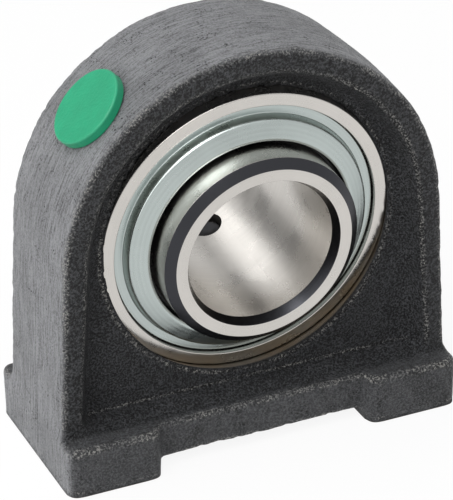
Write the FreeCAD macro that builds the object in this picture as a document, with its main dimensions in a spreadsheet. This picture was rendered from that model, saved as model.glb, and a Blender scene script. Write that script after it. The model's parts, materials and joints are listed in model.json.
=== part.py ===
"""Short base housing with an insert ball bearing for a 25 mm shaft.

The origin is the centre of the bearing.  X runs along the base, Y along the
shaft and Z up.  The front, where the inner ring is shorter, faces -Y.  The
insert sits in a spherical seat and is stored a few degrees out of line, as it
is left when no shaft holds it.  All lengths are millimetres.
"""

import FreeCAD, Part
import math
import os
import Sketcher

DRIVING = [
    # insert bearing, from the shaft outwards
    ("bore_radius", 12.5),
    ("inner_ring_wall", 2.781),
    ("ball_diameter", 7.938),
    ("ball_clearance", 0.03),
    ("race_ratio", 0.52),
    ("outer_ring_wall", 2.781),
    ("inner_land_drop", 2.5),
    ("outer_land_rise", 2.35),
    # outer ring
    ("ring_half_width", 7.5),
    ("ring_rounding", 0.5),
    ("ring_face_width", 2.1),
    ("grease_groove_radius", 0.8),
    # cage
    ("pocket_clearance", 0.12),
    ("cage_back_wall", 0.56),
    ("cage_prong", 2.3),
    ("cage_inner_gap", 0.65),
    ("cage_outer_gap", 0.6),
    ("cage_side_gap", 0.15),
    # seals, the same on both sides
    ("stack_gap", 0.02),
    ("washer_thickness", 0.4),
    ("washer_edge_gap", 0.2),
    ("washer_bore_gap", 0.85),
    ("lip_thickness", 0.9),
    ("lip_clearance", 0.04),
    ("lip_width", 0.45),
    ("lip_reach", 1.1),
    ("shell_flange_width", 1.5),
    ("shell_step_run", 0.4),
    ("shell_shoulder_rise", 1.7),
    ("shell_bore_gap", 0.7),
    ("shell_lip_rise", 2.8),
    ("shell_curl", 0.45),
    # inner ring
    ("front_collar", 5.0),
    ("rear_collar", 10.4),
    ("face_chamfer_radial", 1.53),
    ("face_chamfer_axial", 1.2),
    ("bore_chamfer_radial", 0.75),
    ("bore_chamfer_axial", 1.65),
    # set screws
    ("screw_radius", 2.95),
    ("screw_hole_clearance", 0.05),
    ("screw_length", 5.0),
    ("screw_tip_gap", 1.0),
    ("screw_from_rear", 5.4),
    ("screw_angle", -78.0),
    ("screw_spacing", 120.0),
    ("screw_chamfer", 0.5),
    ("socket_across_flats", 3.0),
    ("socket_depth", 2.4),
    # seat of the insert in the housing
    ("seat_clearance", 0.06),
    ("slot_clearance", 0.15),
    ("rest_tilt", 5.2),
    # housing casting
    ("arch_wall", 7.4),
    ("seat_floor", 11.0),
    ("arch_rise", -0.6),
    ("side_flare", 1.8),
    ("base_inset", 0.4),
    ("arch_draft", 2.5),
    ("rim_thickness", 4.0),
    ("web_margin", 0.5),
    ("pocket_depth", 3.6),
    ("pocket_slope", 28.0),
    ("pocket_corner", 3.0),
    ("foot_reach", 4.1),
    ("bridge_reach", 1.7),
    ("foot_height", 8.6),
    ("foot_inner_margin", 7.0),
    ("notch_height", 2.0),
    ("foot_corner", 2.2),
    ("cast_rounding", 0.7),
    ("bolt_spacing", 50.8),
    ("bolt_depth", 14.0),
    ("bolt_drill", 8.5),
    # grease hole and its plug
    ("plug_angle", 45.5),
    ("plug_shift", 1.2),
    ("plug_head_radius", 6.7),
    ("plug_head_height", 1.6),
    ("plug_rounding", 0.35),
    ("plug_stem_radius", 2.55),
    ("plug_stem_length", 5.0),
    ("plug_clearance", 0.05),
    ("spot_depth", 0.43),
    # how far a cut runs past the face it opens
    ("overcut", 1.0),
]

# Sizes that follow from the driving ones, each in terms of those above it.
DERIVED = [
    ("ball_radius", "ball_diameter / 2"),
    ("pitch_radius", "bore_radius + inner_ring_wall + ball_radius"),
    ("ring_sphere_radius", "pitch_radius + ball_radius + outer_ring_wall"),
    ("race_radius", "race_ratio * ball_diameter"),
    ("inner_land_radius", "pitch_radius - inner_land_drop"),
    ("outer_land_radius", "pitch_radius + outer_land_rise"),
    ("ring_edge_radius", "sqrt(ring_sphere_radius ^ 2 - ring_half_width ^ 2)"),
    ("seal_bore_radius", "ring_edge_radius - ring_face_width"),
    ("cage_back", "ball_radius + pocket_clearance + cage_back_wall"),
    ("seal_shelf", "cage_back + cage_side_gap"),
    ("seal_edge_radius", "seal_bore_radius - washer_edge_gap"),
    ("washer_back", "seal_shelf + stack_gap"),
    ("washer_front", "washer_back + washer_thickness"),
    ("lip_back", "washer_front + stack_gap"),
    ("lip_front", "lip_back + lip_thickness"),
    ("flange_back", "lip_front + stack_gap"),
    ("flange_front", "flange_back + washer_thickness"),
    ("seal_top", "flange_front + shell_lip_rise"),
    ("inner_front", "seal_top + front_collar"),
    ("inner_rear", "seal_top + rear_collar"),
    ("screw_place", "inner_rear - screw_from_rear"),
    ("seat_radius", "ring_sphere_radius + seat_clearance"),
    ("arch_radius", "ring_sphere_radius + arch_wall"),
    ("shaft_height", "ring_sphere_radius + seat_floor"),
    ("side_half_width", "arch_radius + side_flare"),
    ("base_half_length", "side_half_width - base_inset"),
    ("web_half_depth", "ring_half_width + web_margin"),
    ("rim_half_depth", "web_half_depth + pocket_depth"),
    ("foot_half_depth", "rim_half_depth + foot_reach"),
    ("bridge_half_depth", "rim_half_depth + bridge_reach"),
    ("notch_half_length", "bolt_spacing / 2 - foot_inner_margin"),
    ("ledge_level", "foot_height - shaft_height"),
    ("bridge_level", "notch_height - shaft_height"),
    ("spot_level", "arch_radius + arch_rise * cos(plug_angle * 1 deg) - spot_depth"),
]

BALL_COUNT = 9
NEAR = 1e-3

doc = FreeCAD.newDocument("housed_bearing")
sheet = doc.addObject("Spreadsheet::Sheet", "Sizes")
for row, (alias, content) in enumerate(DRIVING + DERIVED, start=1):
    sheet.set(f"A{row}", alias)
    sheet.set(f"B{row}", f"={content}" if isinstance(content, str) else str(content))
    sheet.setAlias(f"B{row}", alias)
doc.recompute()

SIZE_NAMES = [alias for alias, content in DRIVING + DERIVED]


def bound(text):
    """Turn bare size names in an expression into references to the sheet."""
    words = []
    word = ""
    for letter in text + " ":
        if letter.isalnum() or letter == "_":
            word += letter
            continue
        words.append(f"Sizes.{word}" if word in SIZE_NAMES else word)
        words.append(letter)
        word = ""
    return "".join(words).strip()


def number_of(text):
    """The present value of an expression."""
    result = sheet.evalExpression(bound(text))
    return float(getattr(result, "Value", result))


def new_body(label):
    body = doc.addObject("PartDesign::Body", label)
    body.Label = label
    return body


def plane(body, role):
    return next(item for item in body.Origin.OriginFeatures if item.Role == role)


def new_sketch(body, name, role, lift="0"):
    """A sketch on one of the body's origin planes, raised along its normal."""
    sketch = body.newObject("Sketcher::SketchObject", name)
    sketch.AttachmentSupport = [(plane(body, role), "")]
    sketch.MapMode = "FlatFace"
    sketch.setExpression("AttachmentOffset.Base.z", bound(lift))
    return sketch


def pin_point(sketch, geometry, point, across, up):
    """Tie a point to two expressions; an empty one is left to the geometry."""
    for kind, text in (("DistanceX", across), ("DistanceY", up)):
        if text:
            value = number_of(text)
            index = sketch.addConstraint(Sketcher.Constraint(kind, geometry, point, value))
            sketch.setExpression(f"Constraints[{index}]", bound(text))


def outline(sketch, corners, arcs=None):
    """A closed outline through the corners, each a pair of expressions.

    arcs maps the index of an edge to the centre of an arc that runs
    anticlockwise ("left") or clockwise ("right") to the next corner.  The
    corner after an arc keeps one of its two values: the arc gives the other.
    """
    arcs = arcs or {}
    spots = [FreeCAD.Vector(number_of(x), number_of(y), 0) for x, y in corners]
    first = sketch.GeometryCount
    count = len(corners)
    for index, start in enumerate(spots):
        end = spots[(index + 1) % count]
        if index in arcs:
            x, y, turn = arcs[index]
            centre = FreeCAD.Vector(number_of(x), number_of(y), 0)
            low, high = (start, end) if turn == "left" else (end, start)
            angles = [math.atan2(p.y - centre.y, p.x - centre.x) for p in (low, high)]
            circle = Part.Circle(centre, FreeCAD.Vector(0, 0, 1), (start - centre).Length)
            sketch.addGeometry(Part.ArcOfCircle(circle, *angles), False)
        else:
            sketch.addGeometry(Part.LineSegment(start, end), False)

    def ends(index):
        """The start and end points of an edge, as the sketcher numbers them."""
        return (2, 1) if index in arcs and arcs[index][2] == "right" else (1, 2)

    for index in range(count):
        after = (index + 1) % count
        joined = Sketcher.Constraint("Coincident", first + index, ends(index)[1],
                                     first + after, ends(after)[0])
        sketch.addConstraint(joined)
    for index, (x, y) in enumerate(corners):
        before = (index - 1) % count
        if before in arcs:
            from_centre_x = abs(spots[index].x - number_of(arcs[before][0]))
            from_centre_y = abs(spots[index].y - number_of(arcs[before][1]))
            x, y = ("", y) if from_centre_x > from_centre_y else (x, "")
        pin_point(sketch, first + index, ends(index)[0], x, y)
        if index in arcs:
            pin_point(sketch, first + index, 3, arcs[index][0], arcs[index][1])


def circle(sketch, x, y, radius):
    """A full circle whose centre and radius follow the sheet."""
    centre = FreeCAD.Vector(number_of(x), number_of(y), 0)
    ring = Part.Circle(centre, FreeCAD.Vector(0, 0, 1), number_of(radius))
    index = sketch.addGeometry(ring, False)
    pin_point(sketch, index, 3, x, y)
    constraint = sketch.addConstraint(Sketcher.Constraint("Radius", index, number_of(radius)))
    sketch.setExpression(f"Constraints[{constraint}]", bound(radius))


def rectangle(sketch, left, bottom, right, top):
    outline(sketch, [(left, bottom), (right, bottom), (right, top), (left, top)])


def feature(body, kind, name, sketch, **settings):
    """Add a sketched feature; text settings are expressions, others are values."""
    item = body.newObject(f"PartDesign::{kind}", name)
    item.Profile = sketch
    for key, value in settings.items():
        if isinstance(value, str) and key not in ("Type", "SideType"):
            item.setExpression(key, bound(value))
        else:
            setattr(item, key, value)
    return item


def turned(body, name, corners, arcs=None):
    """Turn a profile about the shaft: its points are (radius, distance along Y)."""
    sketch = new_sketch(body, f"{name}_profile", "XY_Plane")
    outline(sketch, corners, arcs)
    item = feature(body, "Revolution", name, sketch, Angle=360.0)
    item.ReferenceAxis = (sketch, ["V_Axis"])
    return item


def must_cut(name, before, after):
    """Stop if a cut took nothing away, or took everything."""
    if not 0 < after < before - NEAR:
        raise ValueError(f"{name} cut nothing: {before:.3f} to {after:.3f}")


def cut_volume(body, name, make):
    """Add a cut and check that the body lost volume."""
    doc.recompute()
    before = body.Shape.Volume
    item = make()
    doc.recompute()
    must_cut(name, before, body.Shape.Volume)
    return item


def dress_edges(body, name, kind, size, choose):
    """Fillet or chamfer the edges of the body that choose accepts."""
    doc.recompute()
    tip = body.Tip
    edges = [f"Edge{number}" for number, edge in enumerate(tip.Shape.Edges, start=1)
             if choose(edge)]
    item = body.newObject(f"PartDesign::{kind}", name)
    item.Base = (tip, edges)
    item.setExpression("Radius" if kind == "Fillet" else "Size", bound(size))
    doc.recompute()
    return item


TILT = ("create(<<placement>>; create(<<vector>>; 0; 0; 0);"
        " create(<<rotation>>; create(<<vector>>; 1; 0; 0); rest_tilt))")


def placed(x="0", y="0", z="0", turn="0", axis="0; 1; 0"):
    """A placement expression: a turn about an axis, then a shift."""
    return (f"create(<<placement>>; create(<<vector>>; {x}; {y}; {z});"
            f" create(<<rotation>>; create(<<vector>>; {axis}); {turn}))")


def tilt_with_insert(item, inside=None):
    """Turn a piece of the insert with it, after its own placement inside it."""
    text = TILT if inside is None else f"{TILT} * {inside}"
    item.setExpression("Placement", bound(text))


# ---------------------------------------------------------------- housing

RIM_DRAFT = "(rim_half_depth * tan(arch_draft * 1 deg))"


def arch_outline(sketch, inset, bottom, corner=None):
    """An arch over sides that lean outwards and run into it smoothly.

    inset moves the whole outline inwards, and corner rounds its two feet.
    """
    radius = f"(arch_radius - {inset})"
    foot = f"(side_half_width - {inset})"
    side_start = bottom if corner is None else f"({bottom} + {corner})"
    drop = f"(arch_rise - {side_start})"
    lean = f"(acos({radius} / sqrt({foot} ^ 2 + {drop} ^ 2)) - atan({drop} / {foot}))"
    across = f"{radius} * cos({lean})"
    spring = f"arch_rise + {radius} * sin({lean})"
    over = ("0", "arch_rise", "left")
    if corner is None:
        corners = [(f"-{foot}", bottom), (foot, bottom), (across, spring),
                   (f"-{across}", spring)]
        outline(sketch, corners, {2: over})
        return
    inner = f"({foot} - {corner})"
    corners = [(f"-{inner}", bottom), (inner, bottom), (foot, side_start),
               (across, spring), (f"-{across}", spring), (f"-{foot}", side_start)]
    outline(sketch, corners, {1: (inner, side_start, "left"), 3: over,
                              5: (f"-{inner}", side_start, "left")})


def build_housing():
    body = new_body("housing")

    arch = new_sketch(body, "arch_profile", "XZ_Plane")
    arch_outline(arch, "0", "bridge_level")
    pad = feature(body, "Pad", "arch", arch, SideType="Symmetric", Type="Length")
    pad.setExpression("Length", bound("2 * rim_half_depth"))
    pad.setExpression("TaperAngle", bound("-arch_draft"))
    doc.recompute()
    if pad.Shape.Volume > Part.Face(arch.Shape.Wires[0]).Area * 2 * number_of("rim_half_depth"):
        pad.setExpression("TaperAngle", bound("arch_draft"))

    base = new_sketch(body, "base_plan", "XY_Plane", "-shaft_height")
    corners = [("-base_half_length", "-foot_half_depth"),
               ("-notch_half_length", "-foot_half_depth"),
               ("-notch_half_length", "-bridge_half_depth"),
               ("notch_half_length", "-bridge_half_depth"),
               ("notch_half_length", "-foot_half_depth"),
               ("base_half_length", "-foot_half_depth")]
    corners += [(x, y[1:]) for x, y in reversed(corners)]
    outline(base, corners)
    feature(body, "Pad", "base", base, Length="foot_height")
    dress_edges(body, "foot_corners", "Fillet", "foot_corner", foot_corner_edge)

    def notch():
        sketch = new_sketch(body, "notch_profile", "XZ_Plane")
        rectangle(sketch, "-notch_half_length", "-shaft_height - overcut",
                  "notch_half_length", "bridge_level")
        return feature(body, "Pocket", "notch", sketch, SideType="Symmetric", Type="ThroughAll")
    cut_volume(body, "notch", notch)

    def web_pocket():
        sketch = new_sketch(body, "web_pocket_profile", "XZ_Plane", "rim_half_depth")
        arch_outline(sketch, f"(rim_thickness + {RIM_DRAFT})", "ledge_level", "pocket_corner")
        return feature(body, "Pocket", "front_web_pocket", sketch, Type="Length",
                       Length="pocket_depth", TaperAngle="-pocket_slope")
    front = cut_volume(body, "front web pocket", web_pocket)

    def rear_pocket():
        mirror = body.newObject("PartDesign::Mirrored", "rear_web_pocket")
        mirror.Originals = [front]
        mirror.MirrorPlane = (plane(body, "XZ_Plane"), [""])
        body.Tip = mirror
        return mirror
    cut_volume(body, "rear web pocket", rear_pocket)

    dress_edges(body, "cast_edges", "Fillet", "cast_rounding", cast_edge)

    def seat():
        sketch = new_sketch(body, "seat_profile", "XY_Plane")
        outline(sketch, [("0", "-seat_radius"), ("0", "seat_radius")],
                {0: ("0", "0", "left")})
        groove = feature(body, "Groove", "spherical_seat", sketch, Angle=360.0)
        groove.ReferenceAxis = (sketch, ["V_Axis"])
        return groove
    cut_volume(body, "seat", seat)

    def loading_slot():
        sketch = new_sketch(body, "loading_slot_profile", "XZ_Plane")
        half = "ring_half_width + slot_clearance"
        reach = "seat_radius + slot_clearance"
        rectangle(sketch, f"-({reach})", f"-({half})", reach, half)
        return feature(body, "Pocket", "loading_slots", sketch, Type="Length",
                       Length="web_half_depth + overcut", Reversed=False)
    cut_volume(body, "loading slots", loading_slot)

    doc.recompute()
    bolts = new_sketch(body, "bolt_centres", "XY_Plane", "-shaft_height")
    circle(bolts, "-bolt_spacing / 2", "0", "bolt_drill / 2")
    circle(bolts, "bolt_spacing / 2", "0", "bolt_drill / 2")
    doc.recompute()

    def bolt_holes():
        hole = body.newObject("PartDesign::Hole", "bolt_holes")
        hole.Profile = bolts
        doc.recompute()
        hole.Reversed = True
        hole.DepthType = "Dimension"
        hole.DrillPoint = "Angled"
        hole.setExpression("Diameter", bound("bolt_drill"))
        hole.setExpression("Depth", bound("bolt_depth"))
        return hole
    cut_volume(body, "bolt holes", bolt_holes)

    def spot_face():
        sketch = radial_sketch(body, "spot_face_circle")
        circle(sketch, "0", "-plug_shift", "plug_head_radius + plug_clearance")
        return feature(body, "Pocket", "spot_face", sketch, Type="Length",
                       Length="spot_depth + overcut", Reversed=True)
    cut_volume(body, "spot face", spot_face)

    def grease_hole():
        sketch = radial_sketch(body, "grease_hole_circle")
        circle(sketch, "0", "-plug_shift", "plug_stem_radius + plug_clearance")
        return feature(body, "Pocket", "grease_hole", sketch, Type="Length",
                       Length="spot_level - seat_radius + overcut")
    cut_volume(body, "grease hole", grease_hole)
    return body


def radial_sketch(body, name):
    """A sketch across the plug's axis, at the level of its spot face."""
    sketch = body.newObject("Sketcher::SketchObject", name)
    sketch.AttachmentSupport = [(plane(body, "XY_Plane"), "")]
    sketch.MapMode = "FlatFace"
    sketch.setExpression("AttachmentOffset", bound(plug_placement("spot_level")))
    return sketch


def plug_placement(level):
    """The plug's frame: its Z axis leans to the left by plug_angle."""
    return (placed(turn="-plug_angle") + " * " + placed(z=level))


def foot_corner_edge(edge):
    """Upright corners of the feet, outside the arch."""
    box = edge.BoundBox
    upright = box.XLength < NEAR and box.YLength < NEAR
    at_foot = abs(abs(box.YMin) - number_of("foot_half_depth")) < NEAR
    return upright and at_foot


def cast_edge(edge):
    """The outer edges of the rim's front and rear faces, above the base."""
    box = edge.BoundBox
    flat = box.YLength < NEAR
    on_rim = abs(abs(box.YMin) - number_of("rim_half_depth")) < NEAR
    outside = box.XMax > number_of("arch_radius - rim_thickness / 2") or (
        -box.XMin > number_of("arch_radius - rim_thickness / 2"))
    return flat and on_rim and outside and box.ZLength > number_of("foot_height")


# ---------------------------------------------------------------- insert

def build_outer_ring():
    body = new_body("outer_ring")
    corners = [("outer_land_radius", "-seal_shelf"), ("seal_bore_radius", "-seal_shelf"),
               ("seal_bore_radius", "-ring_half_width"),
               ("ring_edge_radius", "-ring_half_width"),
               ("ring_edge_radius", "ring_half_width"),
               ("seal_bore_radius", "ring_half_width"),
               ("seal_bore_radius", "seal_shelf"), ("outer_land_radius", "seal_shelf")]
    turned(body, "ring", corners, {3: ("0", "0", "left")})
    cut_volume(body, "outer raceway", lambda: raceway(body, 1))

    def grease_groove():
        sketch = new_sketch(body, "grease_groove_section", "XY_Plane")
        circle(sketch, "ring_sphere_radius", "-plug_shift", "grease_groove_radius")
        return turned_cut(body, "grease_groove", sketch)
    cut_volume(body, "grease groove", grease_groove)
    dress_edges(body, "ring_edges", "Fillet", "ring_rounding", outer_ring_edge)
    tilt_with_insert(body)
    return body


def outer_ring_edge(edge):
    """The two outer edges, where the sphere meets the faces."""
    box = edge.BoundBox
    on_face = abs(abs(box.YMin) - number_of("ring_half_width")) < NEAR
    flat = box.YLength < NEAR
    return flat and on_face and box.XMax > number_of("seal_bore_radius") + NEAR


def turned_cut(body, name, sketch):
    groove = feature(body, "Groove", name, sketch, Angle=360.0)
    groove.ReferenceAxis = (sketch, ["V_Axis"])
    return groove


def raceway(body, side):
    """A groove of round section; side is 1 outside the balls, -1 inside them."""
    sketch = new_sketch(body, "raceway_section", "XY_Plane")
    bottom = "(ball_radius + ball_clearance - race_radius)"
    circle(sketch, f"pitch_radius + {side} * {bottom}", "0", "race_radius")
    return turned_cut(body, "raceway", sketch)


def screw_angles():
    """The angle of each set screw about the shaft."""
    return ["screw_angle", "(screw_angle + screw_spacing)"]


def build_inner_ring():
    body = new_body("inner_ring")
    land, bore = "inner_land_radius", "bore_radius"
    face_out = "inner_land_radius - face_chamfer_radial"
    face_in = "bore_radius + bore_chamfer_radial"
    corners = [(bore, "-inner_front + bore_chamfer_axial"), (face_in, "-inner_front"),
               (face_out, "-inner_front"), (land, "-inner_front + face_chamfer_axial"),
               (land, "inner_rear - face_chamfer_axial"), (face_out, "inner_rear"),
               (face_in, "inner_rear"), (bore, "inner_rear - bore_chamfer_axial")]
    turned(body, "ring", corners)
    cut_volume(body, "inner raceway", lambda: raceway(body, -1))
    for index, angle in enumerate(screw_angles(), start=1):
        def screw_hole(index=index, angle=angle):
            sketch = body.newObject("Sketcher::SketchObject", f"screw_hole_circle_{index}")
            sketch.AttachmentSupport = [(plane(body, "XY_Plane"), "")]
            sketch.MapMode = "FlatFace"
            sketch.setExpression("AttachmentOffset", bound(placed(turn=f"90 - {angle}")))
            circle(sketch, "0", "screw_place",
                   "screw_radius + screw_hole_clearance")
            return feature(body, "Pocket", f"screw_hole_{index}", sketch, Type="Length",
                           Length="inner_land_radius + overcut", Reversed=True)
        cut_volume(body, f"screw hole {index}", screw_hole)
    tilt_with_insert(body)
    return body


def build_set_screw(index, angle):
    """A headless screw with a hexagon socket, its Z axis pointing out of its hole."""
    body = new_body(f"set_screw_{index}")
    sketch = new_sketch(body, "screw_circle", "XY_Plane")
    circle(sketch, "0", "0", "screw_radius")
    feature(body, "Pad", "shank", sketch, Length="screw_length")
    dress_edges(body, "screw_ends", "Chamfer", "screw_chamfer",
                lambda edge: edge.BoundBox.ZLength < NEAR)

    def socket():
        hexagon = new_sketch(body, "socket_hexagon", "XY_Plane", "screw_length")
        corners = [(f"socket_across_flats / sqrt(3) * cos({60 * step} * 1 deg)",
                    f"socket_across_flats / sqrt(3) * sin({60 * step} * 1 deg)")
                   for step in range(6)]
        outline(hexagon, corners)
        return feature(body, "Pocket", "socket", hexagon, Type="Length", Length="socket_depth")
    cut_volume(body, f"socket {index}", socket)
    seat = (placed(y="screw_place", turn=f"90 - {angle}")
            + " * " + placed(z="bore_radius + screw_tip_gap"))
    tilt_with_insert(body, seat)
    return body


def build_cage():
    """A crown cage: a ring with a ball pocket that opens towards the front."""
    body = new_body("ball_cage")
    inside = "inner_land_radius + cage_inner_gap"
    outside = "outer_land_radius - cage_outer_gap"
    corners = [(inside, "-cage_prong"), (outside, "-cage_prong"),
               (outside, "cage_back"), (inside, "cage_back")]
    turned(body, "crown", corners)

    def pocket():
        sketch = new_sketch(body, "pocket_section", "XY_Plane")
        radius = "(ball_radius + pocket_clearance)"
        outline(sketch, [("pitch_radius", f"-{radius}"), ("pitch_radius", radius)],
                {0: ("pitch_radius", "0", "left")})
        groove = feature(body, "Groove", "ball_pocket", sketch, Angle=360.0)
        groove.ReferenceAxis = (sketch, ["Edge2"])
        return groove
    first = cut_volume(body, "ball pocket", pocket)

    def pattern():
        item = body.newObject("PartDesign::PolarPattern", "ball_pockets")
        item.Originals = [first]
        item.Axis = (plane(body, "Y_Axis"), [""])
        item.Angle = 360.0
        item.Occurrences = BALL_COUNT
        body.Tip = item
        return item
    cut_volume(body, "ball pockets", pattern)
    tilt_with_insert(body)
    return body


def build_ball(index):
    ball = doc.addObject("Part::Sphere", f"ball_{index}")
    ball.Label = f"ball_{index}"
    ball.setExpression("Radius", bound("ball_radius"))
    turn = 360 / BALL_COUNT * (index - 1)
    spot = placed(turn=str(turn)) + " * " + placed(x="pitch_radius")
    tilt_with_insert(ball, spot)
    return ball


# ---------------------------------------------------------------- seals

def build_seal(side, sign):
    """Three rings that close one side: a backing washer, a rubber lip and a shell."""
    edge = "seal_edge_radius"
    hole = "inner_land_radius + washer_bore_gap"
    washer = [(hole, "washer_back"), (edge, "washer_back"), (edge, "washer_front"),
              (hole, "washer_front")]

    touch = "inner_land_radius + lip_clearance"
    rubber = [(f"{touch} + 2 * lip_width", "lip_back"), (edge, "lip_back"),
              (edge, "lip_front"), ("pitch_radius", "lip_front"),
              (f"{touch} + lip_width", "lip_front + lip_reach"),
              (touch, "lip_front + lip_reach"), (touch, "lip_front + lip_reach - lip_width")]

    step = f"{edge} - shell_flange_width"
    shoulder = f"{step} - shell_step_run"
    shoulder_top = "flange_front + shell_shoulder_rise"
    curl = "inner_land_radius + shell_bore_gap"
    rolled = f"{curl} + shell_curl"
    shell = [(f"{step} - washer_thickness", "flange_back"), (edge, "flange_back"),
             (edge, "flange_front"), (step, "flange_front"), (shoulder, shoulder_top),
             (rolled, "seal_top"), (curl, "seal_top - washer_thickness / 2"),
             (curl, "seal_top - 3 * washer_thickness / 2"),
             (rolled, "seal_top - washer_thickness"),
             (f"{shoulder} - washer_thickness", f"{shoulder_top} - washer_thickness")]
    rings = [("backing_washer", washer), ("lip", rubber), ("shell", shell)]
    bodies = []
    for name, corners in rings:
        body = new_body(f"{side}_seal_{name}")
        signed = [(radius, f"{sign} * ({along})") for radius, along in corners]
        turned(body, "ring", signed if sign > 0 else signed[::-1])
        tilt_with_insert(body)
        bodies.append(body)
    return bodies


# ---------------------------------------------------------------- plug

def build_plug():
    """A push-in plug: a flat round head on a short stem, its Z axis along the hole."""
    body = new_body("grease_plug")
    head = new_sketch(body, "head_circle", "XY_Plane")
    circle(head, "0", "-plug_shift", "plug_head_radius")
    feature(body, "Pad", "head", head, Length="plug_head_height")
    top = number_of("plug_head_height")
    dress_edges(body, "head_edge", "Fillet", "plug_rounding",
                lambda edge: edge.BoundBox.ZMin > top - NEAR)
    stem = new_sketch(body, "stem_circle", "XY_Plane")
    circle(stem, "0", "-plug_shift", "plug_stem_radius")
    feature(body, "Pad", "stem", stem, Length="plug_stem_length", Reversed=True)
    body.setExpression("Placement", bound(plug_placement("spot_level + stack_gap")))
    return body


def check_and_export(nodes):
    """Stop on any failed object or bad shape, then write one file per node."""
    doc.recompute()
    for item in doc.Objects:
        if "Invalid" in item.State or "Error" in item.State:
            raise ValueError(f"{item.Name} failed: {item.State}")
    for node in nodes:
        if node.Shape.isNull() or not node.Shape.isValid():
            raise ValueError(f"{node.Label} has no valid shape")
        if len(node.Shape.Solids) != 1:
            raise ValueError(f"{node.Label} is {len(node.Shape.Solids)} solids")
    os.makedirs("parts", exist_ok=True)
    for node in nodes:
        node.Shape.exportStep(f"parts/{node.Label}.step")
        print(f"{node.Label}: {node.Shape.Volume:.1f} mm3")


nodes = [build_housing(), build_plug(), build_outer_ring(), build_inner_ring(), build_cage()]
nodes += [build_ball(index) for index in range(1, BALL_COUNT + 1)]
nodes += [build_set_screw(index, angle)
          for index, angle in enumerate(screw_angles(), start=1)]
nodes += build_seal("front", -1) + build_seal("rear", 1)
check_and_export(nodes)
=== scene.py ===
"""Looks of a short base housing with an insert ball bearing.

Run as a script, it builds every visible piece around the packed frame.  The
insert's pieces are profiles turned about its own axis, which leans a few
degrees in the housing.  Lengths inside the shape functions are millimetres,
and each mesh is written in metres.
"""

import json
import math

import bmesh
import bpy
import numpy as np
from bpy.props import FloatProperty, FloatVectorProperty, IntProperty, PointerProperty
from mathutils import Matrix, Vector


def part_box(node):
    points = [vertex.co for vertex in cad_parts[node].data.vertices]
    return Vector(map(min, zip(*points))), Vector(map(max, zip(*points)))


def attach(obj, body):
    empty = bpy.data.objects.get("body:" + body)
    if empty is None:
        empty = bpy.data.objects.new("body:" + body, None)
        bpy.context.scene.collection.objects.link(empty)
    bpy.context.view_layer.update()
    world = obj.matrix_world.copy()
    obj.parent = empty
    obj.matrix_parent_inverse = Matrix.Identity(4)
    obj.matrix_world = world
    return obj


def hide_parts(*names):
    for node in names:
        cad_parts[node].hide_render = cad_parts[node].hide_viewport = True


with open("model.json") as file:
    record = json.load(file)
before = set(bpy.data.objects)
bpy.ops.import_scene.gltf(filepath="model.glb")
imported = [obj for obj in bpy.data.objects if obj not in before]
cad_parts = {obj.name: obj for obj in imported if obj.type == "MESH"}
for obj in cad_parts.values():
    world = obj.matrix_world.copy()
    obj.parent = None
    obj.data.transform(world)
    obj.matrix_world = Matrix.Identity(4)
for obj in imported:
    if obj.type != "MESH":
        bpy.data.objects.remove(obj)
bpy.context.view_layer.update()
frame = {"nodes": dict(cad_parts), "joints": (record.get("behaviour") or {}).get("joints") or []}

bl_info = {
    "name": "Housed ball bearing",
    "version": (1, 0, 0),
    "blender": (4, 5, 0),
    "location": "View3D > Sidebar > Bearing",
    "description": "Builds a cast housing with an insert ball bearing and its stage",
    "category": "Object",
}

MM = 0.001

SEAT_GAP = 0.06         # the seat's radius over the insert's sphere
WEB_HALF = 8.0          # half the housing's thickness at the seat
ARCH_CENTRE = -0.6      # height of the arch's centre over the shaft's
RACE_SHARE = 0.52       # a race's radius, as a share of the ball's diameter
RACE_GAP = 0.03         # between a ball and its race
POLE = 0.01             # radius of a profile's end row, which is drawn into a point


# ------------------------------------------------------------ what the frame says

def joint(name):
    return next(item for item in frame["joints"] if item["name"] == name)


def vertex_rows(mesh, key):
    """One vector of each vertex, such as its co or normal, one row each."""
    flat = np.empty(len(mesh.vertices) * 3)
    mesh.vertices.foreach_get(key, flat)
    return flat.reshape(-1, 3)


def node_points(name):
    """The vertices of a CAD node in millimetres, one row each."""
    return vertex_rows(frame["nodes"][name].data, "co") / MM


SPIN_AXIS = np.array(joint("inner_spin")["axis"])
LEAN = math.atan2(SPIN_AXIS[2], SPIN_AXIS[1])
PLUG_AXIS = np.array(joint("plug_pull")["axis"])


def leaned(points, angle=LEAN):
    """Points turned about X by the insert's lean: from its own frame to the model's."""
    turned = points.copy()
    turned[:, 1] = points[:, 1] * math.cos(angle) - points[:, 2] * math.sin(angle)
    turned[:, 2] = points[:, 1] * math.sin(angle) + points[:, 2] * math.cos(angle)
    return turned


def span(name):
    """Lowest and highest radius, then lowest and highest place along the shaft."""
    points = leaned(node_points(name), -LEAN)
    radii = np.hypot(points[:, 0], points[:, 2])
    return radii.min(), radii.max(), points[:, 1].min(), points[:, 1].max()


def radius_at(name, along):
    """Lowest and highest radius of a node's vertices at one place along the shaft."""
    points = leaned(node_points(name), -LEAN)
    near = np.abs(points[:, 1] - along) < 0.02
    radii = np.hypot(points[near, 0], points[near, 2])
    return radii.min(), radii.max()


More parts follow.
